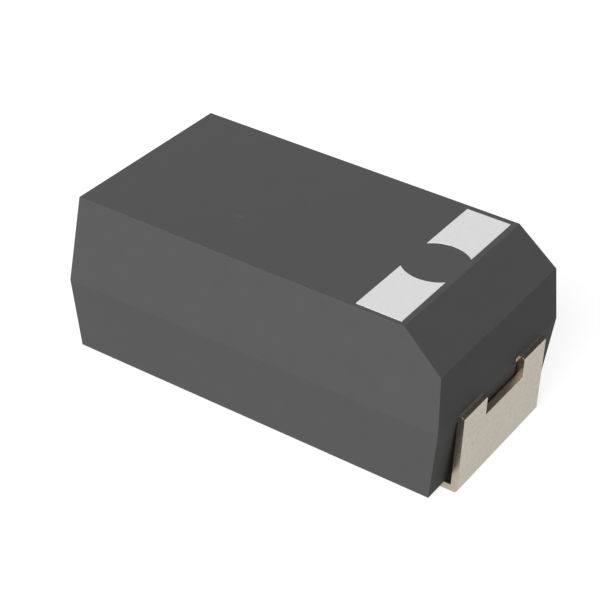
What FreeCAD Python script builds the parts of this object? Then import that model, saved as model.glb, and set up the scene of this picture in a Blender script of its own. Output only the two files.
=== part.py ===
import FreeCAD, Part
import os
import Sketcher

# Moulded tantalum chip capacitor with folded terminals, case size 6032-28.
# Frame: +X points to the anode end, +Y across the case, +Z up. The origin is the centre of the
# footprint on the board, so z = 0 is the underside of the two solder feet.

os.makedirs("parts", exist_ok=True)
doc = FreeCAD.newDocument("tantalum_capacitor")

# Driving dimensions in millimetres and degrees. Heights are above the board.
SIZES = [
    ("overall_length", 6.0, "over the outer faces of the two terminals"),
    ("case_width", 3.2, "at the parting line"),
    ("case_top", 2.5, "height of the top face"),
    ("parting_height", 1.2, "height of the parting line, where the strips leave the case"),
    ("draft_angle", 5.0, "of all case walls, above and below the parting line"),
    ("bevel_run", 0.657, "from the case end to the top edge of the anode bevel"),
    ("bevel_drop", 0.5, "from the top face down to the lower edge of the bevel"),
    ("strip_thickness", 0.1, "of the lead frame strip, which also sets the standoff"),
    ("strip_width", 2.2, "of both terminals"),
    ("foot_length", 1.3, "of each solder foot"),
    ("fold_radius", 0.05, "outside the two tight folds of each terminal"),
    ("notch_width", 1.0, "of the notch in the anode terminal"),
    ("notch_floor", 0.9, "height of the bottom of the notch"),
    ("notch_root", 0.15, "how far the notch reaches into the case"),
    ("stub_width", 0.095, "of the small stub left in the notch, beside one prong"),
    ("stub_thickness", 0.055, "of the stub, down from its top"),
    ("stub_lift", 0.018, "of the top of the stub above the top of the strip"),
    ("stub_reach", 0.02, "of the stub beyond the case end"),
    ("anode_tongue", 1.0, "length of the anode strip inside the case"),
    ("joggle_start", 0.45, "from the case end to the downward bend of the cathode strip"),
    ("joggle_angle", 57.0, "of the sloping stretch of the cathode strip"),
    ("cathode_tongue", 2.5, "length of the cathode strip under the pellet"),
    ("wire_diameter", 0.3, "of the lead wire"),
    ("wire_embedded", 2.3, "length of wire inside the pellet"),
    ("wire_tail", 0.1, "of wire past the weld"),
    ("weld_length", 0.4, "along the wire"),
    ("weld_foot", 0.34, "width of the weld on the strip"),
    ("weld_crown", 0.26, "width of the weld at its top"),
    ("weld_height", 0.1, "of the weld above the strip"),
    ("weld_gap", 0.01, "of weld metal left under the wire"),
    ("weld_inset", 0.25, "from the end of the anode strip to the weld"),
    ("washer_diameter", 0.9, "of the washer on the lead wire"),
    ("washer_thickness", 0.15, "of the same washer"),
    ("anode_space", 1.5, "from the case end to the front of the pellet"),
    ("cathode_space", 1.0, "from the other case end to the back of the pellet"),
    ("top_wall", 0.38, "of moulding over the coated pellet"),
    ("side_wall", 0.38, "of moulding beside the coated pellet, at the parting line"),
    ("pellet_corner", 0.12, "radius along the four long edges of the pellet"),
    ("polymer_coat", 0.02, "thickness of the conductive polymer"),
    ("carbon_coat", 0.015, "thickness of the carbon"),
    ("silver_coat", 0.025, "thickness of the silver"),
    ("coat_setback", 0.12, "from the front of the pellet to the rim of the carbon and silver"),
    ("adhesive_thickness", 0.04, "between the silver and the cathode strip"),
    ("adhesive_inset", 0.15, "from the edges of the strip to the adhesive"),
    ("stripe_width", 0.655, "of the polarity stripe"),
    ("stripe_thickness", 0.01, "of the ink"),
    ("stripe_margin", 0.076, "from the stripe to the bevel"),
    ("stripe_side_margin", 0.09, "from the stripe's ends to the sides of the top face"),
    ("stripe_shift", -0.02, "of the print off the middle of the case"),
    ("disc_radius", 0.47, "of the round clearing in the middle of the stripe"),
    ("cut_margin", 0.5, "by which cutting shapes run past what they cut"),
]

sheet = doc.addObject("Spreadsheet::Sheet", "sizes")
for row, (alias, value, note) in enumerate(SIZES, start=1):
    sheet.set(f"A{row}", note)
    sheet.set(f"B{row}", str(value))
    sheet.setAlias(f"B{row}", alias)
doc.recompute()

# Places worked out from the sizes, as expressions on the sheet
HALF = "(sizes.overall_length / 2)"
CASE_END = f"({HALF} - sizes.strip_thickness)"
CASE_BOTTOM = "sizes.strip_thickness"
SLOPE = "tan(sizes.draft_angle)"
STRIP_TOP = "sizes.parting_height"
STRIP_UNDER = f"({STRIP_TOP} - sizes.strip_thickness)"
BEVEL_TOP = f"({CASE_END} - sizes.bevel_run)"
BEVEL_LOW = "(sizes.case_top - sizes.bevel_drop)"
BEVEL_FOOT = f"({CASE_END} - {SLOPE} * ({BEVEL_LOW} - sizes.parting_height))"
BEVEL_FALL = f"(sizes.bevel_drop / ({BEVEL_FOOT} - {BEVEL_TOP}))"
CUT_END = f"({CASE_END} + sizes.cut_margin)"

WIRE_HEIGHT = f"({STRIP_TOP} + sizes.weld_gap + sizes.wire_diameter / 2)"
TONGUE_END = f"({CASE_END} - sizes.anode_tongue)"
WELD_START = f"({TONGUE_END} + sizes.weld_inset)"
WIRE_END = f"({WELD_START} + sizes.weld_length + sizes.wire_tail)"

COATS = "(sizes.polymer_coat + sizes.carbon_coat + sizes.silver_coat)"
CORE_FRONT = f"({CASE_END} - sizes.anode_space)"
CORE_BACK = f"({CASE_END} - sizes.cathode_space)"
CORE_HALF_WIDTH = f"(sizes.case_width / 2 - sizes.side_wall - {COATS})"
CORE_HALF_HEIGHT = f"(sizes.case_top - sizes.top_wall - {COATS} - {WIRE_HEIGHT})"
COAT_RIM = f"({CORE_FRONT} - sizes.coat_setback)"
PELLET_UNDER = f"({WIRE_HEIGHT} - {CORE_HALF_HEIGHT} - {COATS})"
LOW_TOP = f"({PELLET_UNDER} - sizes.adhesive_thickness)"

JOGGLE_TOP = f"({CASE_END} - sizes.joggle_start)"
JOGGLE_FOOT = f"({JOGGLE_TOP} - ({STRIP_TOP} - {LOW_TOP}) / tan(sizes.joggle_angle))"
MITRE = "(sizes.strip_thickness * tan(sizes.joggle_angle / 2))"
LOW_END = f"({JOGGLE_FOOT} - sizes.cathode_tongue)"

STRIPE_FRONT = f"({BEVEL_TOP} - sizes.stripe_margin)"
STRIPE_HALF = (
    f"(sizes.case_width / 2 - {SLOPE} * (sizes.case_top - sizes.parting_height)"
    " - sizes.stripe_side_margin)"
)


def value_of(expression):
    """The number that an expression on the sheet gives."""
    return float(sheet.evalExpression(expression))


def origin_plane(body, role):
    """One of the body's own origin planes."""
    return next(plane for plane in body.Origin.OriginFeatures if plane.Role == role)


def new_body(label, turned=False):
    """An empty body at the origin, turned half round the vertical for the cathode side."""
    body = doc.addObject("PartDesign::Body", label)
    body.Label = label
    turn = 180 if turned else 0
    body.Placement = FreeCAD.Placement(
        FreeCAD.Vector(0, 0, 0), FreeCAD.Rotation(FreeCAD.Vector(0, 0, 1), turn)
    )
    return body


def new_sketch(body, role, name, offset=None):
    """A sketch on an origin plane, moved off along the plane's normal where an offset is given."""
    sketch = body.newObject("Sketcher::SketchObject", name)
    sketch.AttachmentSupport = [(origin_plane(body, role), "")]
    sketch.MapMode = "FlatFace"
    if offset:
        sketch.setExpression("AttachmentOffset.Base.z", offset)
    return sketch


def name_constraint(sketch, constraint, name, expression):
    """Adds a size to the sketch and ties it to the sheet."""
    index = sketch.addConstraint(constraint)
    sketch.renameConstraint(index, name)
    sketch.setExpression(f"Constraints.{name}", expression)


def draw_polygon(sketch, corners):
    """A closed outline whose corners are pairs of expressions."""
    places = [FreeCAD.Vector(value_of(across), value_of(up), 0) for across, up in corners]
    count = len(corners)
    for i in range(count):
        line = Part.LineSegment(places[i], places[(i + 1) % count])
        sketch.addGeometry(line, False)
    for i in range(count):
        sketch.addConstraint(Sketcher.Constraint("Coincident", i, 2, (i + 1) % count, 1))
    for i, (across, up) in enumerate(corners):
        reach = Sketcher.Constraint("DistanceX", -1, 1, i, 1, places[i].x)
        name_constraint(sketch, reach, f"across{i}", across)
        rise = Sketcher.Constraint("DistanceY", -1, 1, i, 1, places[i].y)
        name_constraint(sketch, rise, f"up{i}", up)


def draw_rectangle(sketch, left, right, low, high):
    """A rectangle between four expressions."""
    draw_polygon(sketch, [(left, low), (right, low), (right, high), (left, high)])


def draw_circle(sketch, centre_across, centre_up, radius):
    """A circle at a place given by expressions."""
    place = FreeCAD.Vector(value_of(centre_across), value_of(centre_up), 0)
    sketch.addGeometry(Part.Circle(place, FreeCAD.Vector(0, 0, 1), value_of(radius)), False)
    reach = Sketcher.Constraint("DistanceX", -1, 1, 0, 3, place.x)
    name_constraint(sketch, reach, "across", centre_across)
    rise = Sketcher.Constraint("DistanceY", -1, 1, 0, 3, place.y)
    name_constraint(sketch, rise, "up", centre_up)
    name_constraint(sketch, Sketcher.Constraint("Radius", 0, value_of(radius)), "radius", radius)


def pad(body, sketch, name, length, both_ways=False, reverse=False, draft=None):
    """Thickens a sketch by a length, straight or with draft."""
    feature = body.newObject("PartDesign::Pad", name)
    feature.Profile = sketch
    feature.SideType = "Symmetric" if both_ways else "One side"
    feature.Reversed = reverse
    feature.setExpression("Length", length)
    if draft:
        feature.setExpression("TaperAngle", draft)
    return feature


def pocket(body, sketch, name, length, both_ways=False, reverse=False):
    """Cuts a sketch out of the body and checks that material really went."""
    doc.recompute()
    before = body.Shape.Volume
    feature = body.newObject("PartDesign::Pocket", name)
    feature.Profile = sketch
    feature.SideType = "Symmetric" if both_ways else "One side"
    feature.Reversed = reverse
    feature.setExpression("Length", length)
    doc.recompute()
    if not body.Shape.Volume < before:
        raise RuntimeError(f"{name} cut nothing")
    return feature


def round_edges(body, feature, name, radius, wanted):
    """Rounds the edges of a feature that a test picks."""
    doc.recompute()
    names = [f"Edge{i}" for i, edge in enumerate(feature.Shape.Edges, start=1) if wanted(edge)]
    if not names:
        raise RuntimeError(f"{name} found no edge")
    fillet = body.newObject("PartDesign::Fillet", name)
    fillet.Base = (feature, names)
    fillet.setExpression("Radius", radius)
    return fillet


def cut(label, base, tool):
    """What is left of one object after another is taken out of it."""
    result = doc.addObject("Part::Cut", label)
    result.Label = label
    result.Base = base
    result.Tool = tool
    return result


def runs_along(edge, axis):
    """Whether a straight edge runs along a direction."""
    ends = [vertex.Point for vertex in edge.Vertexes]
    return len(ends) == 2 and (ends[1] - ends[0]).normalize().isParallel(axis, 1e-6)


# Terminals: each is one strip of the lead frame, folded down the end of the case and under it


def folded_strip(label, inner_top, inner_under, turned):
    """The strip's side view thickened to its width, with its two outer folds rounded.

    inner_top and inner_under are the corners inside the case, along the upper and the lower face.
    """
    body = new_body(label, turned)
    profile = new_sketch(body, "XZ_Plane", f"{label}_profile")
    foot_end = f"({HALF} - sizes.foot_length)"
    corners = [(foot_end, "0"), (HALF, "0"), (HALF, STRIP_TOP)]
    corners += inner_top + inner_under
    corners += [
        (CASE_END, STRIP_UNDER),
        (CASE_END, "sizes.strip_thickness"),
        (foot_end, "sizes.strip_thickness"),
    ]
    draw_polygon(profile, corners)
    blank = pad(body, profile, f"{label}_blank", "sizes.strip_width", both_ways=True)
    folds = (0.0, value_of(STRIP_TOP))

    def is_outer_fold(edge):
        if not runs_along(edge, FreeCAD.Vector(0, 1, 0)):
            return False
        place = edge.CenterOfMass
        at_end = abs(place.x - value_of(HALF)) < 1e-6
        return at_end and any(abs(place.z - height) < 1e-6 for height in folds)

    round_edges(body, blank, f"{label}_folds", "sizes.fold_radius", is_outer_fold)
    return body


anode_terminal = folded_strip(
    "anode_terminal", [(TONGUE_END, STRIP_TOP)], [(TONGUE_END, STRIP_UNDER)], turned=False
)
notch = new_sketch(anode_terminal, "YZ_Plane", "notch_outline", f"{CASE_END} - sizes.notch_root")
draw_rectangle(
    notch,
    "-sizes.notch_width / 2",
    "sizes.notch_width / 2",
    "sizes.notch_floor",
    f"{STRIP_TOP} + sizes.cut_margin",
)
pocket(
    anode_terminal,
    notch,
    "notch",
    "sizes.notch_root + sizes.strip_thickness + sizes.cut_margin",
    reverse=True,
)
stub = new_sketch(anode_terminal, "YZ_Plane", "stub_outline", f"{CASE_END} - sizes.notch_root")
draw_rectangle(
    stub,
    "sizes.notch_width / 2 - sizes.stub_width",
    "sizes.notch_width / 2",
    f"{STRIP_TOP} + sizes.stub_lift - sizes.stub_thickness",
    f"{STRIP_TOP} + sizes.stub_lift",
)
pad(anode_terminal, stub, "stub", "sizes.notch_root + sizes.stub_reach")

cathode_terminal = folded_strip(
    "cathode_terminal",
    [(JOGGLE_TOP, STRIP_TOP), (JOGGLE_FOOT, LOW_TOP), (LOW_END, LOW_TOP)],
    [
        (LOW_END, f"{LOW_TOP} - sizes.strip_thickness"),
        (f"{JOGGLE_FOOT} + {MITRE}", f"{LOW_TOP} - sizes.strip_thickness"),
        (f"{JOGGLE_TOP} + {MITRE}", STRIP_UNDER),
    ],
    turned=True,
)

# Pellet and its coats: rounded blocks, one inside the other


def rounded_block(label, grow, front):
    """A block round the pellet, grown by the coats so far, from its back face to a front face."""
    body = new_body(label)
    section = new_sketch(body, "YZ_Plane", f"{label}_section", f"-{CORE_BACK} - {grow}")
    half_width = f"({CORE_HALF_WIDTH} + {grow})"
    half_height = f"({CORE_HALF_HEIGHT} + {grow})"
    draw_rectangle(
        section,
        f"-{half_width}",
        half_width,
        f"{WIRE_HEIGHT} - {half_height}",
        f"{WIRE_HEIGHT} + {half_height}",
    )
    block = pad(body, section, f"{label}_block", f"{CORE_BACK} + {grow} + {front}")
    round_edges(
        body,
        block,
        f"{label}_corners",
        f"sizes.pellet_corner + {grow}",
        lambda edge: runs_along(edge, FreeCAD.Vector(1, 0, 0)),
    )
    return body


def round_bar(label, start, length, diameter):
    """A round bar on the axis of the lead wire."""
    body = new_body(label)
    section = new_sketch(body, "YZ_Plane", f"{label}_section", start)
    draw_circle(section, "0", WIRE_HEIGHT, f"{diameter} / 2")
    pad(body, section, f"{label}_bar", length)
    return body


TWO_COATS = "(sizes.polymer_coat + sizes.carbon_coat)"
core_block = rounded_block("core_block", "0", CORE_FRONT)
polymer_block = rounded_block(
    "polymer_block", "sizes.polymer_coat", f"{CORE_FRONT} + sizes.polymer_coat"
)
carbon_block = rounded_block("carbon_block", TWO_COATS, COAT_RIM)
silver_block = rounded_block("silver_block", COATS, COAT_RIM)

WIRE_START = f"({CORE_FRONT} - sizes.wire_embedded)"
tantalum_wire = round_bar(
    "tantalum_wire", WIRE_START, f"{WIRE_END} - {WIRE_START}", "sizes.wire_diameter"
)
anode_pellet = cut("anode_pellet", core_block, tantalum_wire)
polymer_shell = cut("polymer_shell", polymer_block, core_block)
polymer_layer = cut("polymer_layer", polymer_shell, tantalum_wire)
carbon_layer = cut("carbon_layer", carbon_block, polymer_block)
silver_layer = cut("silver_layer", silver_block, carbon_block)

washer_disc = round_bar(
    "washer_disc",
    f"{CORE_FRONT} + sizes.polymer_coat",
    "sizes.washer_thickness",
    "sizes.washer_diameter",
)
wire_washer = cut("wire_washer", washer_disc, tantalum_wire)

# Weld: a low saddle of fused metal that the wire sinks into, on the anode strip

weld_saddle = new_body("weld_saddle")
saddle = new_sketch(weld_saddle, "YZ_Plane", "weld_section", WELD_START)
weld_top = f"({STRIP_TOP} + sizes.weld_height)"
draw_polygon(
    saddle,
    [
        ("-sizes.weld_foot / 2", STRIP_TOP),
        ("sizes.weld_foot / 2", STRIP_TOP),
        ("sizes.weld_crown / 2", weld_top),
        ("-sizes.weld_crown / 2", weld_top),
    ],
)
pad(weld_saddle, saddle, "weld_run", "sizes.weld_length")
wire_weld = cut("wire_weld", weld_saddle, tantalum_wire)

# Silver adhesive: a thin pad between the coated pellet and the strip under it

silver_adhesive = new_body("silver_adhesive")
glue = new_sketch(silver_adhesive, "XY_Plane", "adhesive_outline", LOW_TOP)
glue_half = "(sizes.strip_width / 2 - sizes.adhesive_inset)"
glue_back = f"(sizes.adhesive_inset - {CORE_BACK})"
draw_rectangle(glue, glue_back, f"-{LOW_END} - sizes.adhesive_inset", f"-{glue_half}", glue_half)
pad(silver_adhesive, glue, "adhesive_pad", "sizes.adhesive_thickness")

# Case: a rectangle at the parting line, padded up and down with draft, with the bevel cut off

case_block = new_body("case_block")
for name, height, down in (
    ("upper_half", f"(sizes.case_top - {STRIP_TOP})", False),
    ("lower_half", f"({STRIP_TOP} - {CASE_BOTTOM})", True),
):
    outline = new_sketch(case_block, "XY_Plane", f"{name}_outline", STRIP_TOP)
    draw_rectangle(
        outline, f"-{CASE_END}", CASE_END, "-sizes.case_width / 2", "sizes.case_width / 2"
    )
    pad(case_block, outline, name, height, reverse=down, draft="-sizes.draft_angle")

bevel = new_sketch(case_block, "XZ_Plane", "bevel_outline")
draw_polygon(
    bevel,
    [
        (BEVEL_TOP, "sizes.case_top"),
        (CUT_END, f"sizes.case_top - {BEVEL_FALL} * ({CUT_END} - {BEVEL_TOP})"),
        (CUT_END, f"sizes.case_top + {BEVEL_FALL} * sizes.cut_margin"),
        (
            f"{BEVEL_TOP} - sizes.cut_margin",
            f"sizes.case_top + {BEVEL_FALL} * sizes.cut_margin",
        ),
    ],
)
pocket(
    case_block, bevel, "anode_bevel", "sizes.case_width + 2 * sizes.cut_margin", both_ways=True
)

inner_pieces = doc.addObject("Part::MultiFuse", "inner_pieces")
inner_pieces.Shapes = [
    anode_terminal,
    cathode_terminal,
    polymer_block,
    silver_block,
    tantalum_wire,
    washer_disc,
    weld_saddle,
    silver_adhesive,
]
molded_case = cut("molded_case", case_block, inner_pieces)

# Polarity stripe: two patches of ink, whose facing ends follow a round clearing

ink_bar = new_body("ink_bar")
ink = new_sketch(ink_bar, "XY_Plane", "ink_outline", "sizes.case_top")
draw_rectangle(
    ink,
    f"{STRIPE_FRONT} - sizes.stripe_width",
    STRIPE_FRONT,
    f"sizes.stripe_shift - {STRIPE_HALF}",
    f"sizes.stripe_shift + {STRIPE_HALF}",
)
pad(ink_bar, ink, "ink_film", "sizes.stripe_thickness")
clearing = new_body("clearing")
ring = new_sketch(clearing, "XY_Plane", "clearing_outline", "sizes.case_top")
draw_circle(
    ring, f"{STRIPE_FRONT} - sizes.stripe_width / 2", "sizes.stripe_shift", "sizes.disc_radius"
)
pad(clearing, ring, "clearing_disc", "sizes.stripe_thickness + sizes.cut_margin")
polarity_stripe = cut("polarity_stripe", ink_bar, clearing)

doc.recompute()

NODES = [
    molded_case,
    anode_terminal,
    cathode_terminal,
    polarity_stripe,
    tantalum_wire,
    wire_weld,
    wire_washer,
    anode_pellet,
    polymer_layer,
    carbon_layer,
    silver_layer,
    silver_adhesive,
]

for item in doc.Objects:
    if "Invalid" in item.State or "Error" in item.State:
        raise RuntimeError(f"{item.Label} failed to build: {item.State}")
for node in NODES:
    if node.Shape.isNull() or not node.Shape.isValid() or not node.Shape.Solids:
        raise RuntimeError(f"{node.Label} has no valid solid")
for node in NODES:
    node.Shape.exportStep(f"parts/{node.Label}.step")
    box = node.Shape.BoundBox
    print(
        f"{node.Label}: {len(node.Shape.Solids)} solid, {node.Shape.Volume:.5f} mm3,"
        f" x {box.XMin:.3f} to {box.XMax:.3f}, y {box.YMin:.3f} to {box.YMax:.3f},"
        f" z {box.ZMin:.3f} to {box.ZMax:.3f}"
    )
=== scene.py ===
# %% [markdown]
# # A moulded tantalum chip capacitor
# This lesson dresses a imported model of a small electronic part, 6 mm long: a dark moulded block
# with a strip of tin-plated metal folded down each end and a white stripe that marks one pole.
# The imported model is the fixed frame. Pieces are placed by reading its boxes, so nothing has to
# be moved or fitted by eye, and what a box can't say is written here as a size in millimetres.

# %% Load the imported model
import math

import bmesh
import bpy
from mathutils import Matrix, Vector


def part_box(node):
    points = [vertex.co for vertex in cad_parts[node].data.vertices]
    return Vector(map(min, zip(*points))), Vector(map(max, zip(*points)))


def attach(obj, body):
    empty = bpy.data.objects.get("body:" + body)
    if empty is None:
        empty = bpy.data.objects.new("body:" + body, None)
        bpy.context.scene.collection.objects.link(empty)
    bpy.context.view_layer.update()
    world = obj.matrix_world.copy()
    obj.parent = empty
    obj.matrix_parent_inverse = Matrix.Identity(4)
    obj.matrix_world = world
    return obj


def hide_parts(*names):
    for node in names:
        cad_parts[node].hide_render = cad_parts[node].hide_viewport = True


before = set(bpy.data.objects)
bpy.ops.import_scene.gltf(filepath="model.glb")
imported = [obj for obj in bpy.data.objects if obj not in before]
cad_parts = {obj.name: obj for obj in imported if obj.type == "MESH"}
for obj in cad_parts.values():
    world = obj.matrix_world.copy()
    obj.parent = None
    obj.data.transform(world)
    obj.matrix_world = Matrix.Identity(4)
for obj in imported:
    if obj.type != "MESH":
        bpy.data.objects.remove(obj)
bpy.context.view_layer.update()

print("nodes:", ", ".join(sorted(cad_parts)))

# %% [markdown]
# ## Work in millimetres
# Blender's unit here is the metre, and this part is a few thousandths of one. Tools such as
# Bevel and Boolean are happier with numbers near one, so each piece is made in millimetres and
# shrunk to metres when it is finished. The frame's boxes are read in millimetres for the same
# reason.

# %% Read a box in millimetres
MM = 0.001


def box_mm(node):
    """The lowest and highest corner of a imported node, in millimetres."""
    low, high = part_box(node)
    return Vector(low) / MM, Vector(high) / MM


case_low, case_high = box_mm("molded_case")
print("case, mm:", [round(size, 3) for size in case_high - case_low])

# %% [markdown]
# ## One helper for nodes, one for colours
# Materials and Geometry Nodes are both trees of nodes. One function adds a node of any kind, sets
# its options and fills its inputs, whether with a value or with a link from another node. Colours
# are written as the hex values that a screen shows, and one function turns them into the linear
# values that Blender works with.

# %% Helpers for nodes and colours


def add_node(tree, kind, inputs=None, **settings):
    """Adds a node. Each input is given a value, or a socket of another node to link from."""
    node = tree.nodes.new(kind)
    for name, value in settings.items():
        setattr(node, name, value)
    for key, value in (inputs or {}).items():
        if isinstance(value, bpy.types.NodeSocket):
            tree.links.new(value, node.inputs[key])
        else:
            node.inputs[key].default_value = value
    return node


def linear(hex_colour):
    """A screen colour such as #4f4f4f as linear red, green, blue and alpha."""
    channels = [int(hex_colour[i : i + 2], 16) / 255 for i in (1, 3, 5)]
    return [
        c / 12.92 if c <= 0.04045 else ((c + 0.055) / 1.055) ** 2.4 for c in channels
    ] + [1.0]


print("screen grey #808080 is", round(linear("#808080")[0], 3), "in linear light")

# %% [markdown]
# ## A start for every finish
# Each material needs the same beginning: a shader, its output, and the surface point in
# millimetres. Object coordinates are used, because every finished piece sits at the origin, so
# a pattern keeps its real size and place on the piece. A pattern's scale is then simply one over
# its grain size in millimetres.

# %% The start of a finish


def new_finish(name, colour, **shader_inputs):
    """A material with its tree and shader, and the surface point in millimetres."""
    material = bpy.data.materials.new(name)
    material.use_nodes = True
    tree = material.node_tree
    tree.nodes.clear()
    labels = {key.replace("_", " "): value for key, value in shader_inputs.items()}
    shader = add_node(tree, "ShaderNodeBsdfPrincipled", {"Base Color": linear(colour), **labels})
    add_node(tree, "ShaderNodeOutputMaterial", {"Surface": shader.outputs[0]})
    place = add_node(tree, "ShaderNodeTexCoord")
    point = add_node(
        tree, "ShaderNodeMapping", {"Vector": place.outputs["Object"], "Scale": [1 / MM] * 3}
    )
    return material, tree, shader, point.outputs["Vector"]


print("surface points are multiplied by", round(1 / MM), "to be millimetres")

# %% [markdown]
# ## Let a grain show
# On all these surfaces a grain shows as colour, as shine and as relief. The relief is often the
# same grain, and on the case and the ink it is a finer one. Noise seldom leaves the middle half
# of its range, so that half is stretched over the whole before it picks a colour or a
# roughness. The Mix node has a set of sockets for each kind of value, and the numbers below are
# those for colours.

# %% Colour, shine and relief from a grain
MIDDLE_HALF = {"From Min": 0.25, "From Max": 0.75}
FACTOR, FIRST, SECOND = 0, 6, 7
MIXED = 2


def show_grain(tree, shader, grain, colours, roughness, relief, depth):
    """Links a grain to colour and shine, and a relief to the bumps, depth in millimetres."""
    dark, light = colours
    smoothest, roughest = roughness
    share = add_node(
        tree, "ShaderNodeMapRange", {"Value": grain, **MIDDLE_HALF, "To Min": 0.0, "To Max": 1.0}
    )
    colour = add_node(
        tree,
        "ShaderNodeMix",
        {FACTOR: share.outputs["Result"], FIRST: linear(dark), SECOND: linear(light)},
        data_type="RGBA",
    )
    shine = add_node(
        tree,
        "ShaderNodeMapRange",
        {"Value": grain, **MIDDLE_HALF, "To Min": smoothest, "To Max": roughest},
    )
    bumps = add_node(
        tree, "ShaderNodeBump", {"Height": relief, "Strength": 1.0, "Distance": depth * MM}
    )
    tree.links.new(colour.outputs[MIXED], shader.inputs["Base Color"])
    tree.links.new(shine.outputs["Result"], shader.inputs["Roughness"])
    tree.links.new(bumps.outputs["Normal"], shader.inputs["Normal"])
    return colour.outputs[MIXED]


print("range of a grain that is used:", *MIDDLE_HALF.values())

# %% [markdown]
# ## The moulded case: filled epoxy
# The block is epoxy loaded with silica powder and coloured with carbon, moulded in a steel tool
# whose walls were cut by sparks. The eye gets an even, matt, dark grey with hardly any shine, and
# close up a very fine pebbled skin. A plain noise gives the pebbles, and a coarser, weaker one
# keeps the shine from being the same everywhere. The real pits are one or two hundredths of a
# millimetre wide, so they are drawn a little coarser, or no picture would show them. The sheen
# of such a rough skin is lower than the smooth epoxy's, so the specular level is turned down.
#
# One small mark on the top, slightly paler than the rest, is drawn as in the reference picture.
# It is a soft oval of colour at a fixed place, not part of the pattern.

# %% Finish of the moulding
SPARK_GRAIN = 0.03
CLOUD = 0.3
FLECK_PLACE = (-0.82, -0.595, 2.5)
FLECK_SIZE = (0.16, 0.07, 0.05)
FLECK_TURN = (0.0, 0.0, math.radians(4))
FLECK_COLOUR = "#8c8c8c"
FLECK_STRENGTH = 0.07
EPOXY_COLOURS = ("#4e4e4e", "#505050")
EPOXY_ROUGHNESS = (0.65, 0.69)
PEBBLE_DEPTH = 0.0008


def epoxy_moulding():
    """Dark filled epoxy with a spark-cut skin and one faint pale fleck on the top face."""
    material, tree, shader, point = new_finish(
        "epoxy_moulding", "#4f4f4f", Specular_IOR_Level=0.16, IOR=1.5
    )
    pebbles = add_node(
        tree, "ShaderNodeTexNoise", {"Vector": point, "Scale": 1 / SPARK_GRAIN, "Detail": 3.0}
    ).outputs["Fac"]
    clouds = add_node(
        tree, "ShaderNodeTexNoise", {"Vector": point, "Scale": 1 / CLOUD, "Detail": 2.0}
    ).outputs["Fac"]
    body = show_grain(
        tree, shader, clouds, EPOXY_COLOURS, EPOXY_ROUGHNESS, pebbles, PEBBLE_DEPTH
    )
    centred = add_node(
        tree,
        "ShaderNodeMapping",
        {"Vector": point, "Location": FLECK_PLACE, "Rotation": FLECK_TURN, "Scale": FLECK_SIZE},
        vector_type="TEXTURE",
    )
    oval = add_node(
        tree, "ShaderNodeTexGradient", {"Vector": centred.outputs[0]}, gradient_type="SPHERICAL"
    )
    pale = add_node(
        tree,
        "ShaderNodeMapRange",
        {"Value": oval.outputs["Fac"], **MIDDLE_HALF, "To Min": 0.0, "To Max": FLECK_STRENGTH},
    )
    flecked = add_node(
        tree,
        "ShaderNodeMix",
        {FACTOR: pale.outputs["Result"], FIRST: body, SECOND: linear(FLECK_COLOUR)},
        data_type="RGBA",
    )
    tree.links.new(flecked.outputs[MIXED], shader.inputs["Base Color"])
    return material


moulding_finish = epoxy_moulding()
print("finish:", moulding_finish.name)

# %% [markdown]
# ## The lead frame: rolled strip with matte tin
# The terminals are stamped from rolled copper alloy and plated with matte tin. The eye gets a
# warm grey, satin metal that mirrors the floor in a blurred way. Up close the tin is a mosaic of
# tiny crystals, each a little lighter or darker. Voronoi cells give the crystals, and a noise
# stretched along the strip stands for the marks of rolling. Both are a few thousandths of a
# millimetre across on a real strip and are drawn several times coarser, so that they show.
#
# Where the strip is folded, the bending tool has rubbed the tin smoother. The eye gets a crisp
# dark band along the fold, because the smoother tin mirrors the dim room without blurring it
# into the bright floor.

# %% Finishes of the strip
TIN_CRYSTAL = 0.022
ROLLING_MARK = 0.05
ALONG_STRIP = (0.6, 1.0, 0.6)
TIN_COLOURS = ("#a9a193", "#bfb8ab")
TIN_DEPTH = 0.00008


def tin_plating(name, roughness):
    """Tin-plated strip with fine crystals and faint rolling marks."""
    material, tree, shader, point = new_finish(name, "#b4ac9f", Metallic=1.0)
    crystals = add_node(
        tree, "ShaderNodeTexVoronoi", {"Vector": point, "Scale": 1 / TIN_CRYSTAL}
    )
    shade = add_node(tree, "ShaderNodeRGBToBW", {"Color": crystals.outputs["Color"]})
    drawn_out = add_node(tree, "ShaderNodeMapping", {"Vector": point, "Scale": ALONG_STRIP})
    rolled = add_node(
        tree,
        "ShaderNodeTexNoise",
        {"Vector": drawn_out.outputs["Vector"], "Scale": 1 / ROLLING_MARK, "Detail": 4.0},
    )
    both = add_node(
        tree, "ShaderNodeMath", {0: shade.outputs["Val"], 1: rolled.outputs["Fac"]}, operation="ADD"
    )
    mean = add_node(tree, "ShaderNodeMath", {0: both.outputs[0], 1: 0.5}, operation="MULTIPLY")
    grain = mean.outputs[0]
    show_grain(tree, shader, grain, TIN_COLOURS, roughness, grain, TIN_DEPTH)
    return material


tin_finish = tin_plating("matte_tin_strip", (0.37, 0.43))
fold_finish = tin_plating("burnished_tin", (0.18, 0.24))
print("finishes:", tin_finish.name, fold_finish.name)

# %% [markdown]
# ## The cut edges of the strip
# The strip is plated before it is stamped, so the cuts through its thickness show the bare
# alloy, which is warmer than tin. There are three kinds, made by one function.
#
# - The long sides are sheared smooth and have dulled a little since. The eye gets narrow edges
#   that mirror the dim room and look dark.
# - The walls of the notch are as smooth. Their colour is painted lighter than the sides', a painted
#   highlight for the light that falls into the notch.
# - The floor of the notch is where the punch tears the alloy. It is rougher and catches the
#   light, most of all in the corner, where floor and wall mirror each other and the light takes
#   the alloy's colour twice. Its colour is painted lighter as well, the same painted highlight.
#
# The punch leaves fine lines through the thickness of the upright part, so the noise is
# stretched that way. They are drawn coarser than they are, so that they show.

# %% Finishes of the cut edges
PUNCH_LINE = 0.02
THROUGH_STRIP = (0.15, 1.0, 1.0)
PUNCH_DEPTH = 0.0001


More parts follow.
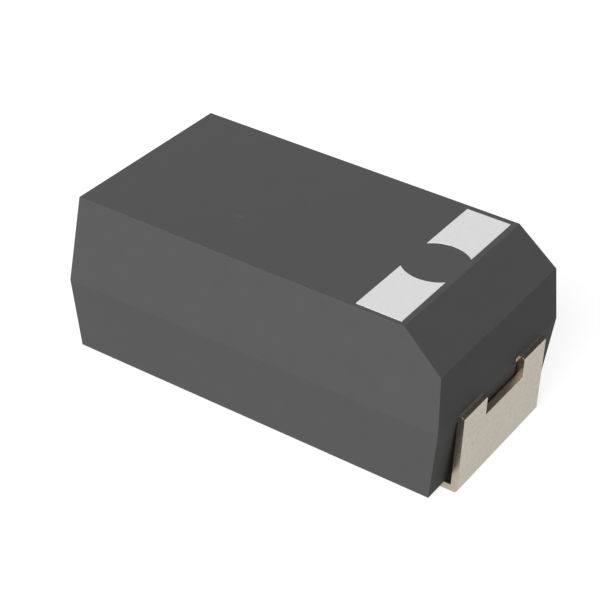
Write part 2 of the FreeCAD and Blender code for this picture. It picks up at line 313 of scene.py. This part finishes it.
def bare_alloy(name, colours, roughness):
    """Bare copper alloy with fine punch lines."""
    material, tree, shader, point = new_finish(name, colours[1], Metallic=1.0)
    drawn_out = add_node(tree, "ShaderNodeMapping", {"Vector": point, "Scale": THROUGH_STRIP})
    lines = add_node(
        tree,
        "ShaderNodeTexNoise",
        {"Vector": drawn_out.outputs["Vector"], "Scale": 1 / PUNCH_LINE, "Detail": 3.0},
    ).outputs["Fac"]
    show_grain(tree, shader, lines, colours, roughness, lines, PUNCH_DEPTH)
    return material


side_finish = bare_alloy("sheared_alloy", ("#ada595", "#b7af9f"), (0.20, 0.28))
# The wall and the floor of the notch get lighter colours than the sides: painted highlight in the
# notch.
notch_wall_painted_lighter = bare_alloy("sheared_alloy_painted_lighter", ("#c3b5a4", "#d0c2b0"), (0.22, 0.27))
notch_floor_painted_lighter = bare_alloy("torn_alloy_painted_lighter", ("#c1b3a2", "#cec0ae"), (0.36, 0.42))
print("finishes:", side_finish.name, notch_wall_painted_lighter.name, notch_floor_painted_lighter.name)

# %% [markdown]
# ## The stripe: marking ink
# The stripe is a film of white epoxy ink, a hundredth of a millimetre thick, cured on the rough
# skin. The eye gets a flat, clean white with a soft shine, whose surface still follows the
# pebbles below, and a faint mottle where the ink took up unevenly. The pebbles are the
# moulding's own noise at the same scale, so that they run on under the ink, only shallower.
# The mottle is drawn a little coarser than it is, so that it shows.

# %% Finish of the ink
INK_MOTTLE = 0.06
INK_COLOURS = ("#dcdcdc", "#e0e0e0")
INK_ROUGHNESS = (0.5, 0.6)
INK_DEPTH = 0.0005


def marking_ink():
    """White cured ink with a faint mottle, over the pebbles of the moulding."""
    material, tree, shader, point = new_finish(
        "marking_ink", "#dedede", Specular_IOR_Level=0.3, IOR=1.5
    )
    mottle, pebbles = [
        add_node(
            tree, "ShaderNodeTexNoise", {"Vector": point, "Scale": 1 / size, "Detail": 3.0}
        ).outputs["Fac"]
        for size in (INK_MOTTLE, SPARK_GRAIN)
    ]
    show_grain(tree, shader, mottle, INK_COLOURS, INK_ROUGHNESS, pebbles, INK_DEPTH)
    return material


ink_finish = marking_ink()
print("finish:", ink_finish.name)

# %% [markdown]
# ## What is sealed inside
# Nothing inside shows in a finished part, but a cut-away would show it, so each inner piece has
# its true finish. They are described in one list: the name, the two ends of the colour range, how
# metallic and how rough the surface is, and the size and depth of its grain. Real grains of
# powder and flake are a few thousandths to a few hundredths of a millimetre wide, and are drawn
# as coarse as they need to be to show.
#
# - drawn tantalum wire: blue-grey metal with die lines along its length
# - weld: satin fused metal with a rippled skin
# - washer: waxy white fluoropolymer
# - pellet: sintered tantalum powder, dark and open-pored
# - polymer coat: blue-black dried conductive polymer with a soft shine
# - carbon coat: dried graphite paint, nearly black
# - silver coat: pale flake paint
# - adhesive: silver-filled epoxy, greyer and coarser

# %% Finishes of the inner pieces
DIE_LINES = (0.05, 1.0, 1.0)
INNER_FINISHES = {
    "tantalum_wire": (
        "drawn_tantalum", "#83868c", "#94979c", 1.0, 0.28, 0.04, 0.0006, DIE_LINES
    ),
    "wire_weld": ("fused_weld", "#8a847a", "#a59e92", 1.0, 0.35, 0.05, 0.002),
    "wire_washer": ("white_fluoropolymer", "#e6e5df", "#efeeea", 0.0, 0.45, 0.08, 0.0008),
    "anode_pellet": ("sintered_tantalum", "#3d3a3f", "#57545a", 0.6, 0.62, 0.03, 0.004),
    "polymer_layer": ("conductive_polymer", "#12141c", "#1e212c", 0.0, 0.32, 0.12, 0.001),
    "carbon_layer": ("carbon_paint", "#1c1c1c", "#2b2b2b", 0.0, 0.7, 0.05, 0.002),
    "silver_layer": ("silver_paint", "#aaa69c", "#c6c2b8", 0.8, 0.45, 0.04, 0.002),
    "silver_adhesive": ("silver_adhesive_film", "#94907f", "#b0ab9c", 0.7, 0.5, 0.06, 0.002),
}
SHINE_SPREAD = 0.05


def inner_finish(name, dark, light, metallic, roughness, grain_size, depth, stretch=None):
    """A mottled finish whose colour, shine and relief follow the same grain."""
    material, tree, shader, point = new_finish(name, light, Metallic=metallic)
    if stretch:
        drawn_out = add_node(tree, "ShaderNodeMapping", {"Vector": point, "Scale": stretch})
        point = drawn_out.outputs["Vector"]
    mottle = add_node(
        tree, "ShaderNodeTexNoise", {"Vector": point, "Scale": 1 / grain_size, "Detail": 4.0}
    ).outputs["Fac"]
    shine = (roughness - SHINE_SPREAD, roughness + SHINE_SPREAD)
    show_grain(tree, shader, mottle, (dark, light), shine, mottle, depth)
    return material


for node, finish in INNER_FINISHES.items():
    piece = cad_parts[node]
    piece.data.materials.clear()
    piece.data.materials.append(inner_finish(*finish))
print("inner finishes:", len(INNER_FINISHES))

# %% [markdown]
# ## From modifiers to a plain mesh
# A shape is first edited freely, then stored as a mesh and put in the scene as an object. Its
# modifiers are evaluated once, and the result is stored as an ordinary mesh, which is the same
# in every program that opens it. The same step shrinks it from millimetres to metres, and
# leaves its object at the origin. The piece then rides on the body and stands for its imported
# node.

# %% Making and finishing a piece


def as_mesh(name, shape):
    """Stores a shape that was being edited as a mesh, and lets the shape go."""
    mesh = bpy.data.meshes.new(name)
    shape.to_mesh(mesh)
    shape.free()
    return mesh


def new_object(name, data):
    """An object for a mesh, a lamp or a camera, in the scene and at the origin."""
    item = bpy.data.objects.new(name, data)
    bpy.context.scene.collection.objects.link(item)
    return item


def finish_piece(piece, node, turn=None):
    """Bakes the modifiers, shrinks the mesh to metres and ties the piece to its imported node."""
    bpy.context.view_layer.update()
    evaluated = piece.evaluated_get(bpy.context.evaluated_depsgraph_get())
    mesh = bpy.data.meshes.new_from_object(evaluated)
    piece.modifiers.clear()
    piece.data = mesh
    if turn:
        mesh.transform(turn)
    mesh.transform(Matrix.Scale(MM, 4))
    mesh.name = piece.name
    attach(piece, "root")
    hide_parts(node)
    print(f"{piece.name}: {len(mesh.polygons)} faces in place of {node}")


print("a finished piece is shrunk", round(1 / MM), "times")

# %% [markdown]
# ## The moulded block
# The block could be rebuilt from its sizes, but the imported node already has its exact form, with
# the hollow that fits the inner pieces. What a model for fabrication leaves out is the tiny
# radius that every edge of a steel mould has. So a copy of the node is taken, and its loose
# triangles are merged into whole faces, because a bevel runs along the edges of whole faces.
# Points closer than a hair, a ten-thousandth of a millimetre, are made one point, and faces that
# turn by less than five thousandths of a radian are made one face.

# %% Copy the case as whole faces
HAIR = 0.0001
FLAT = 0.005

case_shape = bmesh.new()
case_shape.from_mesh(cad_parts["molded_case"].data)
bmesh.ops.scale(case_shape, vec=[1 / MM] * 3, verts=case_shape.verts)
bmesh.ops.remove_doubles(case_shape, verts=case_shape.verts, dist=HAIR)
bmesh.ops.dissolve_limit(
    case_shape, angle_limit=FLAT, verts=case_shape.verts, edges=case_shape.edges
)
print("case:", len(case_shape.faces), "whole faces")

# %% [markdown]
# ## Rounded edges, outside only
# The outer edges get a bevel of six thousandths of a millimetre, which softens them as the real
# ones are. Edges of the hollow inside are left sharp, because the inner pieces fit against them.
# They are told apart by where they lie, with a margin so that none is near the limit.

# %% Round the outer edges
EDGE_RADIUS = 0.006
EDGE_STEPS = 3
CREASE = math.radians(20)
CLEAR = 0.1

silver_high = box_mm("silver_layer")[1]
wire_high = box_mm("tantalum_wire")[1]
ink_low, ink_high = box_mm("polarity_stripe")


def on_the_outside(edge):
    """Whether an edge lies clear of everything that is sealed inside the case."""
    middle = (edge.verts[0].co + edge.verts[1].co) / 2
    beside = abs(middle.y) > silver_high.y + CLEAR
    above = middle.z > silver_high.z + CLEAR
    below = middle.z < case_low.z + CLEAR
    on_bevel = middle.x > ink_high.x and middle.z > wire_high.z + CLEAR
    return beside or above or below or on_bevel


rims = [
    edge
    for edge in case_shape.edges
    if edge.calc_face_angle(0.0) > CREASE and on_the_outside(edge)
]
bmesh.ops.bevel(
    case_shape,
    geom=rims,
    offset=EDGE_RADIUS,
    offset_type="OFFSET",
    segments=EDGE_STEPS,
    profile=0.5,
    affect="EDGES",
)
print("rounded edges:", len(rims))

# %% [markdown]
# ## Flat faces that stay flat
# Smooth shading makes the narrow bevels look round, and weighted normals keep it from creeping
# over the large faces. The parting line, where the two halves of the mould met, stays a sharp
# edge. Its height is read from the top of the cathode strip, which leaves the case there, because
# a lip on the anode strip stands a little above it.

# %% Finish the case
SHARP = math.radians(35)
NEAR = 0.001

cathode_high = box_mm("cathode_terminal")[1]
PARTING = cathode_high.z


def on_the_parting_line(mesh, edge):
    """Whether both ends of an edge lie at the height where the halves of the mould met."""
    heights = [mesh.vertices[v].co.z - PARTING for v in edge.vertices]
    return max(abs(height) for height in heights) < NEAR


case_mesh = as_mesh("case_moulding", case_shape)
case_mesh.materials.append(moulding_finish)
case_mesh.shade_smooth()
case_mesh.set_sharp_from_angle(angle=SHARP)
for edge in case_mesh.edges:
    if on_the_parting_line(case_mesh, edge):
        edge.use_edge_sharp = True
case = new_object("case_moulding", case_mesh)
normals = case.modifiers.new("flat_faces_stay_flat", "WEIGHTED_NORMAL")
normals.keep_sharp = True
finish_piece(case, "molded_case")

# %% [markdown]
# ## Two folded terminals from one rule
# Each terminal is a strip that leaves the case at the parting line, folds down the end and folds
# again under the case. Seen from the side it is one closed outline, so the rule is: draw the
# outline, push it across the strip's width, and cut the notch out of one of the two. Geometry
# Nodes suit this, because the same tree makes both ends from named sizes. The outline keeps the
# tight folds as true arcs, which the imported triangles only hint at. The case stands one
# thickness of strip above the board, so its lowest point gives that thickness.

# %% Draw the part of a strip that shows
anode_low, anode_high = box_mm("anode_terminal")
THICKNESS = case_low.z
TAB_FACE = anode_high.x
CASE_END = TAB_FACE - THICKNESS
FOOT_END = anode_low.x
STRIP_WIDTH = anode_high.y - anode_low.y
FOLD_RADIUS = 0.05
FOLD_STEPS = 8


def quarter_turn(across, up, start):
    """Points along a quarter circle of the fold's radius, from a starting angle."""
    angles = [math.radians(start + 90 * i / FOLD_STEPS) for i in range(FOLD_STEPS + 1)]
    return [
        (across + FOLD_RADIUS * math.cos(a), up + FOLD_RADIUS * math.sin(a)) for a in angles
    ]


def strip_outline(inside):
    """The side view of a terminal; inside holds its corners within the case."""
    centre = TAB_FACE - FOLD_RADIUS
    outline = [(FOOT_END, 0.0)]
    outline += quarter_turn(centre, FOLD_RADIUS, -90)
    outline += quarter_turn(centre, PARTING - FOLD_RADIUS, 0)
    outline += inside
    outline += [(CASE_END, PARTING - THICKNESS), (CASE_END, THICKNESS), (FOOT_END, THICKNESS)]
    return outline


print("strip", round(THICKNESS, 3), "mm thick and", round(STRIP_WIDTH, 3), "mm wide")

# %% [markdown]
# ## The two ends that differ inside
# Within the case the anode strip is a plain tongue that the wire is welded to. The cathode strip
# steps down on a slope, so that it lies under the pellet, and the corners of the slope are
# mitred to keep the strip's thickness. Each is a short list of corners.

# %% Draw the parts inside the case
ANODE_TONGUE = 1.0
JOGGLE_START = 0.45
JOGGLE_ANGLE = math.radians(57)

tongue_end = CASE_END - ANODE_TONGUE
anode_inside = [(tongue_end, PARTING), (tongue_end, PARTING - THICKNESS)]
low_level = box_mm("silver_adhesive")[0].z
low_end = -cathode_high.x
joggle_top = CASE_END - JOGGLE_START
joggle_foot = joggle_top - (PARTING - low_level) / math.tan(JOGGLE_ANGLE)
mitre = THICKNESS * math.tan(JOGGLE_ANGLE / 2)
cathode_inside = [
    (joggle_top, PARTING),
    (joggle_foot, low_level),
    (low_end, low_level),
    (low_end, low_level - THICKNESS),
    (joggle_foot + mitre, low_level - THICKNESS),
    (joggle_top + mitre, PARTING - THICKNESS),
]
print("the cathode strip steps down", round(PARTING - low_level, 3), "mm")

# %% [markdown]
# ## The strip tree: its inputs
# A tree of Geometry Nodes starts from its named inputs: the outline, the width, the sizes and
# places of the notch and of the lip that is left in it, and a finish for each kind of face.

# %% Name the inputs of the strip tree


def new_tree(name, inputs, output):
    """An empty tree of Geometry Nodes, with the sockets of its named inputs."""
    tree = bpy.data.node_groups.new(name, "GeometryNodeTree")
    for label, kind in inputs.items():
        tree.interface.new_socket(label, in_out="INPUT", socket_type=f"NodeSocket{kind}")
    tree.interface.new_socket(output, in_out="OUTPUT", socket_type="NodeSocketGeometry")
    return tree, add_node(tree, "NodeGroupInput").outputs


STRIP_INPUTS = {
    "Outline": "Geometry",
    "Strip Width": "Float",
    "Notched": "Bool",
    "Notch Size": "Vector",
    "Notch Centre": "Vector",
    "Lip Size": "Vector",
    "Lip Centre": "Vector",
    "Strip Finish": "Material",
    "Fold Finish": "Material",
    "Side Finish": "Material",
    "Wall Finish": "Material",
    "Floor Finish": "Material",
    "Fold Place": "Float",
    "Fold Reach": "Float",
    "Wall Place": "Float",
    "Floor Place": "Float",
}
strip_tree, strip_in = new_tree("folded_strip", STRIP_INPUTS, "Strip")
print("strip tree inputs:", len(STRIP_INPUTS))

# %% [markdown]
# ## The strip tree: from outline to strip
# The tree takes the flat outline and extrudes it across the width. Extruding moves the face
# away, so a flipped copy of it closes the other side, and the two are joined point to point.

# %% Push the outline across the strip
across = add_node(
    strip_tree, "ShaderNodeMath", {0: strip_in["Strip Width"], 1: -1.0}, operation="MULTIPLY"
)
push = add_node(strip_tree, "ShaderNodeCombineXYZ", {"Y": across.outputs[0]})
slab = add_node(
    strip_tree,
    "GeometryNodeExtrudeMesh",
    {
        "Mesh": strip_in["Outline"],
        "Offset": push.outputs[0],
        "Offset Scale": 1.0,
        "Individual": False,
    },
    mode="FACES",
)
back = add_node(strip_tree, "GeometryNodeFlipFaces", {"Mesh": strip_in["Outline"]})
both = add_node(strip_tree, "GeometryNodeJoinGeometry", {"Geometry": slab.outputs["Mesh"]})
strip_tree.links.new(back.outputs[0], both.inputs["Geometry"])
plain = add_node(
    strip_tree, "GeometryNodeMergeByDistance", {"Geometry": both.outputs[0], "Distance": HAIR}
)
print("strip tree nodes:", len(strip_tree.nodes))

# %% [markdown]
# ## The strip tree: notch and lip
# A box cuts the notch, and a second small box puts back the thin lip of metal that the stamping
# leaves in one corner of it. A switch leaves both out for the plain end. The result is shaded
# smooth and made real, and the whole strip gets its tin.

# %% Cut the notch and leave the lip
shape = plain.outputs[0]
for name, operation, first in (("Notch", "DIFFERENCE", "Mesh 1"), ("Lip", "UNION", "Mesh 2")):
    block = add_node(strip_tree, "GeometryNodeMeshCube", {"Size": strip_in[f"{name} Size"]})
    placed = add_node(
        strip_tree,
        "GeometryNodeTransform",
        {"Geometry": block.outputs["Mesh"], "Translation": strip_in[f"{name} Centre"]},
    )
    joined = add_node(
        strip_tree, "GeometryNodeMeshBoolean", {first: shape}, operation=operation, solver="EXACT"
    )
    strip_tree.links.new(placed.outputs[0], joined.inputs["Mesh 2"])
    shape = joined.outputs["Mesh"]
chosen = add_node(
    strip_tree,
    "GeometryNodeSwitch",
    {"Switch": strip_in["Notched"], "False": plain.outputs[0], "True": shape},
    input_type="GEOMETRY",
)
smooth = add_node(strip_tree, "GeometryNodeSetShadeSmooth", {"Geometry": chosen.outputs[0]})
real = add_node(strip_tree, "GeometryNodeRealizeInstances", {"Geometry": smooth.outputs[0]})
painted = add_node(
    strip_tree,
    "GeometryNodeSetMaterial",
    {"Geometry": real.outputs[0], "Material": strip_in["Strip Finish"]},
)
print("strip tree nodes:", len(strip_tree.nodes))

# %% [markdown]
# ## The strip tree: a finish for each kind of face
# The round of each fold takes the burnished tin, the faces that look across the strip take the
# sheared finish, and the walls and the floor of the notch take their own. The second are picked
# by which way they face, and the others by where their middles lie. Faces picked by hand would
# be lost when a size changed, and these rules hold. A later row of the table paints over an
# earlier one.

# %% Finish each face by what it is
FACES_ACROSS = 0.9

normal = add_node(strip_tree, "GeometryNodeInputNormal")
facing = add_node(strip_tree, "ShaderNodeSeparateXYZ", {0: normal.outputs[0]})
position = add_node(strip_tree, "GeometryNodeInputPosition")
middle = add_node(strip_tree, "ShaderNodeSeparateXYZ", {0: position.outputs[0]})
sideways, off_axis = [
    add_node(strip_tree, "ShaderNodeMath", {0: parts.outputs["Y"]}, operation="ABSOLUTE")
    for parts in (facing, middle)
]
tests = (
    ("Fold", "COMPARE", middle.outputs["X"], strip_in["Fold Place"], strip_in["Fold Reach"]),
    ("Side", "GREATER_THAN", sideways.outputs[0], FACES_ACROSS),
    ("Wall", "COMPARE", off_axis.outputs[0], strip_in["Wall Place"], NEAR),
    ("Floor", "COMPARE", middle.outputs["Z"], strip_in["Floor Place"], NEAR),
)
for name, operation, *numbers in tests:
    passed = add_node(
        strip_tree, "ShaderNodeMath", dict(enumerate(numbers)), operation=operation
    )
    painted = add_node(
        strip_tree,
        "GeometryNodeSetMaterial",
        {
            "Geometry": painted.outputs[0],
            "Selection": passed.outputs[0],
            "Material": strip_in[f"{name} Finish"],
        },
    )
add_node(strip_tree, "NodeGroupOutput", {"Strip": painted.outputs[0]})
print("strip tree nodes:", len(strip_tree.nodes))

# %% [markdown]
# ## The sizes that go into the tree
# The cutting box runs from a little way inside the case to well outside the strip, so that no
# thin skin is left. The lip starts at the same inner end and fills the top corner of the notch on
# the far side. A fold reaches one radius in from the outer face, less a hair, so that the flat of
# the tab isn't counted with it.

# %% Work out the notch and the lip
NOTCH_WIDTH = 1.0
NOTCH_FLOOR = 0.9
NOTCH_ROOT = 0.15
LIP_WIDTH = 0.095
LIP_HEIGHT = 0.055
LIP_REACH = 0.02
MARGIN = 0.5

root = CASE_END - NOTCH_ROOT
cut_end = TAB_FACE + MARGIN
cut_top = PARTING + MARGIN
lip_end = CASE_END + LIP_REACH
strip_values = {
    "Strip Width": STRIP_WIDTH,
    "Notch Size": (cut_end - root, NOTCH_WIDTH, cut_top - NOTCH_FLOOR),
    "Notch Centre": ((cut_end + root) / 2, 0.0, (cut_top + NOTCH_FLOOR) / 2),
    "Lip Size": (lip_end - root, LIP_WIDTH, LIP_HEIGHT),
    "Lip Centre": (
        (lip_end + root) / 2,
        (NOTCH_WIDTH - LIP_WIDTH) / 2,
        anode_high.z - LIP_HEIGHT / 2,
    ),
    "Strip Finish": tin_finish,
    "Fold Finish": fold_finish,
    "Side Finish": side_finish,
    "Wall Finish": notch_wall_painted_lighter,
    "Floor Finish": notch_floor_painted_lighter,
    "Fold Place": TAB_FACE - FOLD_RADIUS / 2,
    "Fold Reach": FOLD_RADIUS / 2 - HAIR,
    "Wall Place": NOTCH_WIDTH / 2,
    "Floor Place": NOTCH_FLOOR,
}
print("notch", NOTCH_WIDTH, "mm wide, its floor", NOTCH_FLOOR, "mm above the board")

# %% [markdown]
# ## Setting a tree's inputs
# A modifier keeps its values under each input's identifier, not under the name that a person
# reads. One function looks the identifiers up by name, so the calls below stay readable. The
# strip's edges then get a bevel of three thousandths of a millimetre, as sharp stamping leaves.

# %% Make the terminals
STRIP_EDGE = 0.003
STAMPED_CREASE = math.radians(40)
HALF_TURN = Matrix.Rotation(math.pi, 4, "Z")


def add_tree(piece, tree, values):
    """Puts a node tree on a piece and sets its named inputs."""
    modifier = piece.modifiers.new(tree.name, "NODES")
    modifier.node_group = tree
    keys = {item.name: item.identifier for item in tree.interface.items_tree}
    for name, value in values.items():
        modifier[keys[name]] = value


def make_terminal(name, node, inside, notched, turn=None):
    """One folded terminal, made at the anode end and turned half round for the other."""
    flat = bmesh.new()
    side = STRIP_WIDTH / 2
    corners = [flat.verts.new((along, side, up)) for along, up in strip_outline(inside)]
    flat.faces.new(corners)
    piece = new_object(name, as_mesh(name, flat))
    add_tree(piece, strip_tree, {"Notched": notched, **strip_values})
    edges = piece.modifiers.new("stamped_edges", "BEVEL")
    edges.width = STRIP_EDGE
    edges.segments = 2
    edges.limit_method = "ANGLE"
    edges.angle_limit = STAMPED_CREASE
    edges.harden_normals = True
    finish_piece(piece, node, turn)


make_terminal("anode_folded_strip", "anode_terminal", anode_inside, True)
make_terminal("cathode_folded_strip", "cathode_terminal", cathode_inside, False, HALF_TURN)

# %% [markdown]
# ## The polarity stripe
# The stripe marks the positive end. It is printed in two patches that leave a round clearing in
# the middle of the case, so their facing ends are hollow arcs. A thin box with a drum taken out
# of it says this exactly, and a tree keeps the sizes as inputs. The drum has many sides, because
# the curve is seen from close by.

# %% Build the stripe tree
STRIPE_INPUTS = {
    "Centre": "Vector",
    "Film Size": "Vector",
    "Clearing Radius": "Float",
    "Clearing Sides": "Int",
    "Drum Depth": "Float",
    "Finish": "Material",
}
stripe_tree, stripe_in = new_tree("printed_stripe", STRIPE_INPUTS, "Stripe")
film = add_node(stripe_tree, "GeometryNodeMeshCube", {"Size": stripe_in["Film Size"]})
drum = add_node(
    stripe_tree,
    "GeometryNodeMeshCylinder",
    {
        "Vertices": stripe_in["Clearing Sides"],
        "Radius": stripe_in["Clearing Radius"],
        "Depth": stripe_in["Drum Depth"],
    },
)
patches = add_node(
    stripe_tree,
    "GeometryNodeMeshBoolean",
    {"Mesh 1": film.outputs["Mesh"], "Mesh 2": drum.outputs["Mesh"]},
    operation="DIFFERENCE",
    solver="EXACT",
)
on_top = add_node(
    stripe_tree,
    "GeometryNodeTransform",
    {"Geometry": patches.outputs["Mesh"], "Translation": stripe_in["Centre"]},
)
made_real = add_node(
    stripe_tree, "GeometryNodeRealizeInstances", {"Geometry": on_top.outputs[0]}
)
inked = add_node(
    stripe_tree,
    "GeometryNodeSetMaterial",
    {"Geometry": made_real.outputs[0], "Material": stripe_in["Finish"]},
)
add_node(stripe_tree, "NodeGroupOutput", {"Stripe": inked.outputs[0]})
print("stripe tree nodes:", len(stripe_tree.nodes))

# %% [markdown]
# ## Print the stripe
# The film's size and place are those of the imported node, so only the clearing is given here.

# %% Make the stripe
CLEARING_RADIUS = 0.47
CLEARING_SIDES = 160

stripe = new_object("stripe_ink", bpy.data.meshes.new("stripe_ink"))
stripe_values = {
    "Centre": (ink_low + ink_high) / 2,
    "Film Size": ink_high - ink_low,
    "Clearing Radius": CLEARING_RADIUS,
    "Clearing Sides": CLEARING_SIDES,
    "Drum Depth": MARGIN,
    "Finish": ink_finish,
}
add_tree(stripe, stripe_tree, stripe_values)
finish_piece(stripe, "polarity_stripe")

# %% [markdown]
# ## Floor and backdrop
# The part stands on a plain white floor. A floor that is lit to pure white would throw too much
# light back on to the part, so its own colour is a mid grey, and a glow that only the camera,
# mirrors and clear materials can see lifts it to white. The part's soft shadow stays.

# %% Make the floor
FLOOR_SIZE = 4.0
FLOOR_GLOW = 0.85
WHITE = linear("#ffffff")


def flat_sheet(name, width, length):
    """A flat rectangle in metres, with its middle at the origin."""
    shape = bmesh.new()
    bmesh.ops.create_grid(shape, x_segments=1, y_segments=1, size=0.5)
    bmesh.ops.scale(shape, vec=(width, length, 1.0), verts=shape.verts)
    return as_mesh(name, shape)


def seen_directly(tree):
    """One for rays from the camera, off a gloss or through a clear piece, and zero for others."""
    path = add_node(tree, "ShaderNodeLightPath")
    total = path.outputs["Is Camera Ray"]
    for name in ("Is Glossy Ray", "Is Transmission Ray"):
        total = add_node(
            tree, "ShaderNodeMath", {0: total, 1: path.outputs[name]}, operation="MAXIMUM"
        ).outputs[0]
    return total


paper, paper_tree, paper_shader, _ = new_finish(
    "studio_paper", "#8a8a8a", Roughness=1.0, Specular_IOR_Level=0.0, Emission_Color=WHITE
)
glow = add_node(
    paper_tree,
    "ShaderNodeMath",
    {0: seen_directly(paper_tree), 1: FLOOR_GLOW},
    operation="MULTIPLY",
)
paper_tree.links.new(glow.outputs[0], paper_shader.inputs["Emission Strength"])
floor_sheet = flat_sheet("floor", FLOOR_SIZE, FLOOR_SIZE)
floor_sheet.materials.append(paper)
new_object("floor", floor_sheet)
print("floor:", FLOOR_SIZE, "m square")

# %% [markdown]
# ## The sky
# An even sky fills the shadows. As with the floor, the camera and the mirrors see it white, and
# the part is lit by a dimmer grey.

# %% Make the sky
SKY_LEVEL = "#989898"

world = bpy.data.worlds.new("studio")
world.use_nodes = True
sky_tree = world.node_tree
sky_tree.nodes.clear()
shown = add_node(
    sky_tree,
    "ShaderNodeMix",
    {FACTOR: seen_directly(sky_tree), FIRST: linear(SKY_LEVEL), SECOND: WHITE},
    data_type="RGBA",
)
sky = add_node(
    sky_tree, "ShaderNodeBackground", {"Color": shown.outputs[MIXED], "Strength": 1.0}
)
add_node(sky_tree, "ShaderNodeOutputWorld", {"Surface": sky.outputs[0]})
bpy.context.scene.world = world
print("sky:", SKY_LEVEL)

# %% [markdown]
# ## Lamps
# One broad lamp stands in front of the long side, about thirty degrees up, so that side is the
# brightest face, the top is next and the bevelled end stays in shade. A weak one behind the part
# softens the shadow that the first throws back, and no mirror shows it. Sun lamps are used,
# because their strength doesn't depend on how small the scene is, and a wide angle keeps their
# shadows soft. Each row gives the way to the lamp, its strength, and whether mirrors show it.

# %% Make the lamps
LAMPS = [
    ("broad_lamp", (-0.034, -0.846, 0.533), 3.51, True),
    ("back_fill", (0.0, 0.97, 0.15), 0.8, False),
]
LAMP_SPREAD = math.radians(40)

for name, direction, strength, mirrored in LAMPS:
    lamp = bpy.data.lights.new(name, "SUN")
    lamp.energy = strength
    lamp.angle = LAMP_SPREAD
    holder = new_object(name, lamp)
    holder.rotation_euler = Vector(direction).to_track_quat("Z", "Y").to_euler()
    holder.visible_glossy = mirrored
print("lamps:", len(LAMPS))

# %% [markdown]
# ## A grey card for the metal to mirror
# The fold at the top of the tab is a tiny rounded mirror. In the reference picture it is much
# darker than the flat of the tab, so something dim stands in the room behind the part. Metal
# is photographed this way on purpose, because a mirror with only white round it has no form. A
# grey card does it here. Its top edge is just low enough for the upper half of the fold to catch
# a little of the white above it, which draws a paler line along the dark band. The card shows in
# mirrors alone, so that it neither enters a picture nor takes light from the part.

# %% Make the card
CARD_WIDTH = 0.5
CARD_HEIGHT = 0.42
CARD_DISTANCE = 0.25
CARD_BEARING = math.radians(20)

upright = Matrix.Rotation(math.pi / 2, 4, "X")
stand = Matrix.Translation((0.0, CARD_DISTANCE, CARD_HEIGHT / 2))
card_sheet = flat_sheet("grey_card", CARD_WIDTH, CARD_HEIGHT)
card_sheet.transform(Matrix.Rotation(-CARD_BEARING, 4, "Z") @ stand @ upright)
card_sheet.materials.append(new_finish("grey_card", "#464646", Roughness=1.0)[0])
card = new_object("grey_card", card_sheet)
card.visible_camera = False
card.visible_diffuse = False
card.visible_shadow = False
print("card:", CARD_WIDTH, "by", CARD_HEIGHT, "m")

# %% [markdown]
# ## Camera
# The camera looks down on the anode end from the front right. Its angles, its distance and its
# long lens were worked out from the corners of the case in the reference picture, which has a
# slight roll. The lens belongs to a sensor 36 mm wide. The distance and the two slides, which
# put the part where the picture has it, are in millimetres too, and the far limit is in metres.

# %% Make the camera
AZIMUTH = math.radians(32.087)
ELEVATION = math.radians(33.923)
ROLL = math.radians(2.688)
DISTANCE = 24.74
SLIDE_RIGHT = -0.1625
SLIDE_UP = -0.0621
LENS = 109.56
SENSOR = 36.0
FAR = 10.0

back = Vector(
    (
        math.sin(AZIMUTH) * math.cos(ELEVATION),
        -math.cos(AZIMUTH) * math.cos(ELEVATION),
        math.sin(ELEVATION),
    )
)
level = Vector((math.cos(AZIMUTH), math.sin(AZIMUTH), 0.0))
square_up = back.cross(level)
right = math.cos(ROLL) * level + math.sin(ROLL) * square_up
up = -math.sin(ROLL) * level + math.cos(ROLL) * square_up
aim = Vector((0.0, 0.0, case_high.z / 2))
place = aim + back * DISTANCE + right * SLIDE_RIGHT + up * SLIDE_UP

lens = bpy.data.cameras.new("camera")
lens.sensor_width = SENSOR
lens.lens = LENS
lens.clip_start = MM
lens.clip_end = FAR
camera = new_object("camera", lens)
turn = Matrix((right, up, back)).transposed().to_4x4()
camera.matrix_world = Matrix.Translation(place * MM) @ turn
bpy.context.scene.camera = camera
bpy.context.scene.view_settings.view_transform = "Standard"
print("camera at", DISTANCE, "mm")
